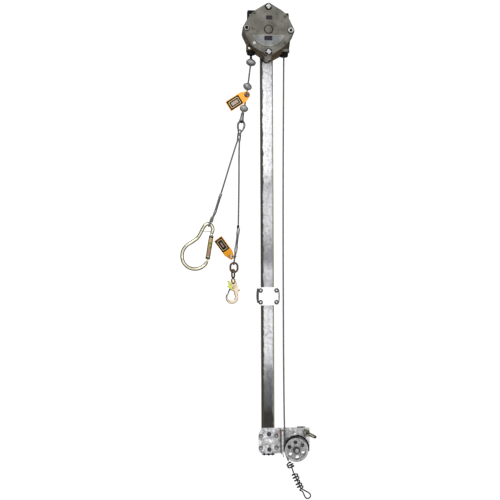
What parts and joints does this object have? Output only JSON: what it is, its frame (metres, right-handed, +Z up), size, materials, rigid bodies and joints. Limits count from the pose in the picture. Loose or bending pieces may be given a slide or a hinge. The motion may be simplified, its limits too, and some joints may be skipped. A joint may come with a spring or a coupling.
{
  "type": "rope grab",
  "caption": "Mast-mounted wire-rope descent head with sheave and centrifugal brake, lower guide wheel, and a two-leg lanyard with carabiner and swivel hook",
  "frame": {"origin": "centre of the flat back face of the mid clamp's rear channel", "axes": "+Z up along the mast, +Y out of the clamp's back towards what it is fixed to, +X to the right seen from the front"},
  "size_m": [0.5357, 0.177, 1.9465],
  "materials": {
    "cast_body": "warm dark grey hammered paint over a casting",
    "seal": "thin black gasket",
    "bumper": "matte black moulded rubber",
    "fastener": "bright zinc plating",
    "galvanised": "hot-dip galvanised, spangled and streaked",
    "machined_steel": "plain machined steel",
    "brake_iron": "machined iron",
    "bearing_metal": "plain bearing bronze",
    "wire_rope": "laid galvanised wire rope",
    "tail_rope": "dark braided cord",
    "stop_ball": "dull swaged metal",
    "tag_orange": "orange sheet with a blank dark panel",
    "gold_zinc": "pale gold passivated zinc",
    "bright_zinc": "bright zinc",
    "olive_zinc": "olive and gold passivated zinc",
    "bronze": "dark bronze",
    "lever": "yellow-green"
  },
  "bodies": {
    "frame": {"rear_housing": "cast_body", "front_cover": "cast_body", "cover_gasket": "seal", "rope_bumper_left": "bumper", "rope_bumper_right": "bumper", "cover_bolt_right": "fastener", "cover_bolt_top": "fastener", "cover_bolt_left": "fastener", "cover_bolt_bottom": "fastener", "head_bolt_upper": "fastener", "head_bolt_lower": "fastener", "clamp_bolt_1": "fastener", "clamp_bolt_2": "fastener", "clamp_bolt_3": "fastener", "clamp_bolt_4": "fastener", "wheel_axle": "fastener", "u_bolt_upper": "fastener", "u_bolt_lower": "fastener", "mast_tube": "galvanised", "head_plate": "galvanised", "clamp_front_plate": "galvanised", "clamp_rear_channel": "galvanised", "wheel_plate": "galvanised", "bracket_front_plate": "galvanised", "corner_ring": "machined_steel", "brake_drum": "brake_iron", "bearing_rear": "bearing_metal", "bearing_front": "bearing_metal", "main_rope": "wire_rope", "left_rope": "wire_rope", "lanyard_rope": "wire_rope", "left_eye_splice": "wire_rope", "right_eye_splice": "wire_rope", "tail_rope": "tail_rope", "stop_ball_1": "stop_ball", "stop_ball_2": "stop_ball", "stop_ball_3": "stop_ball", "eye_sleeve": "stop_ball", "lanyard_crimp_upper": "stop_ball", "lanyard_crimp_lower": "stop_ball"},
    "sheave_shaft": {"main_shaft": "machined_steel", "rope_sheave": "machined_steel", "drive_gear": "machined_steel"},
    "brake_spider": {"brake_rotor": "machined_steel"},
    "shoe_right": {"brake_shoe_1": "brake_iron"},
    "shoe_left": {"brake_shoe_2": "brake_iron"},
    "wheel": {"guide_wheel": "machined_steel", "wheel_bearing": "bearing_metal"},
    "plate_link": {"corner_link": "machined_steel"},
    "carabiner": {"carabiner_body": "gold_zinc", "captive_pin": "machined_steel"},
    "gate": {"carabiner_gate": "bright_zinc"},
    "lock_sleeve": {"gate_sleeve": "olive_zinc"},
    "chain_link": {"oval_link": "bronze"},
    "swivel": {"swivel_eye": "bronze"},
    "hook": {"hook_body": "gold_zinc"},
    "keeper": {"hook_gate": "machined_steel"},
    "lever": {"lock_lever": "lever"},
    "upper_tag": {"tag_upper": "tag_orange"},
    "lower_tag": {"tag_lower": "tag_orange"}
  },
  "joints": [
    {"name": "sheave_spin", "type": "hinge", "parent": "frame", "child": "sheave_shaft", "pos_m": [0, -0.096, 1.04], "axis": [0, 1, 0], "continuous": true},
    {"name": "rotor_spin", "type": "hinge", "parent": "frame", "child": "brake_spider", "pos_m": [0, -0.142, 1.082], "axis": [0, 1, 0], "continuous": true},
    {"name": "shoe_right_slide", "type": "slide", "parent": "brake_spider", "child": "shoe_right", "axis": [1, 0, 0], "range_m": [0, 0.0008], "stiffness_N_per_m": 2000, "springref_m": -0.002},
    {"name": "shoe_left_slide", "type": "slide", "parent": "brake_spider", "child": "shoe_left", "axis": [-1, 0, 0], "range_m": [0, 0.0008], "stiffness_N_per_m": 2000, "springref_m": -0.002},
    {"name": "wheel_spin", "type": "hinge", "parent": "frame", "child": "wheel", "pos_m": [0.108, -0.096, -0.606], "axis": [0, 1, 0], "continuous": true},
    {"name": "plate_link_swing", "type": "hinge", "parent": "frame", "child": "plate_link", "pos_m": [0.151, -0.075, -0.545], "axis": [0, 1, 0], "range_deg": [-20, 45]},
    {"name": "carabiner_swing", "type": "hinge", "parent": "frame", "child": "carabiner", "pos_m": [-0.2312, -0.096, 0.2886], "axis": [0.941, 0, -0.3385], "range_deg": [-35, 35]},
    {"name": "gate_hinge", "type": "hinge", "parent": "carabiner", "child": "gate", "pos_m": [-0.2412, -0.096, 0.143], "axis": [0, 1, 0], "range_deg": [-18, 0], "stiffness_Nm_per_rad": 0.15, "springref_deg": 45.84},
    {"name": "sleeve_twist", "type": "hinge", "parent": "gate", "child": "lock_sleeve", "pos_m": [-0.2322, -0.096, 0.19675], "axis": [0.1651, 0, 0.9863], "range_deg": [0, 90], "stiffness_Nm_per_rad": 0.01, "springref_deg": -28.65},
    {"name": "chain_link_swing", "type": "hinge", "parent": "frame", "child": "chain_link", "pos_m": [-0.136, -0.096, 0.135], "axis": [1, 0, 0], "range_deg": [-30, 30]},
    {"name": "swivel_eye_swing", "type": "hinge", "parent": "chain_link", "child": "swivel", "pos_m": [-0.1393, -0.096, 0.0988], "axis": [1, 0, 0], "range_deg": [-20, 20]},
    {"name": "hook_swivel", "type": "hinge", "parent": "swivel", "child": "hook", "pos_m": [-0.1393, -0.096, 0.06], "axis": [0, 0, 1], "continuous": true},
    {"name": "keeper_hinge", "type": "hinge", "parent": "hook", "child": "keeper", "pos_m": [-0.1495, -0.096, 0.0355], "axis": [0, 1, 0], "range_deg": [-24, 0], "stiffness_Nm_per_rad": 0.02, "springref_deg": 34.38},
    {"name": "lever_press", "type": "hinge", "parent": "hook", "child": "lever", "pos_m": [-0.1405, -0.096, 0.037], "axis": [0, 1, 0], "range_deg": [0, 10], "stiffness_Nm_per_rad": 0.02, "springref_deg": -34.38},
    {"name": "upper_tag_swing", "type": "hinge", "parent": "frame", "child": "upper_tag", "pos_m": [-0.0823, -0.0985, 0.7985], "axis": [0, 0, 1], "range_deg": [-12, 25]},
    {"name": "lower_tag_swing", "type": "hinge", "parent": "frame", "child": "lower_tag", "pos_m": [-0.1335, -0.096, 0.1603], "axis": [0, 0, 1], "range_deg": [-25, 6]}
  ],
  "couplings": [
    {"joint": "rotor_spin", "follows": "sheave_spin", "ratio": -2.5},
    {"joint": "shoe_left_slide", "follows": "shoe_right_slide", "ratio": 1}
  ]
}
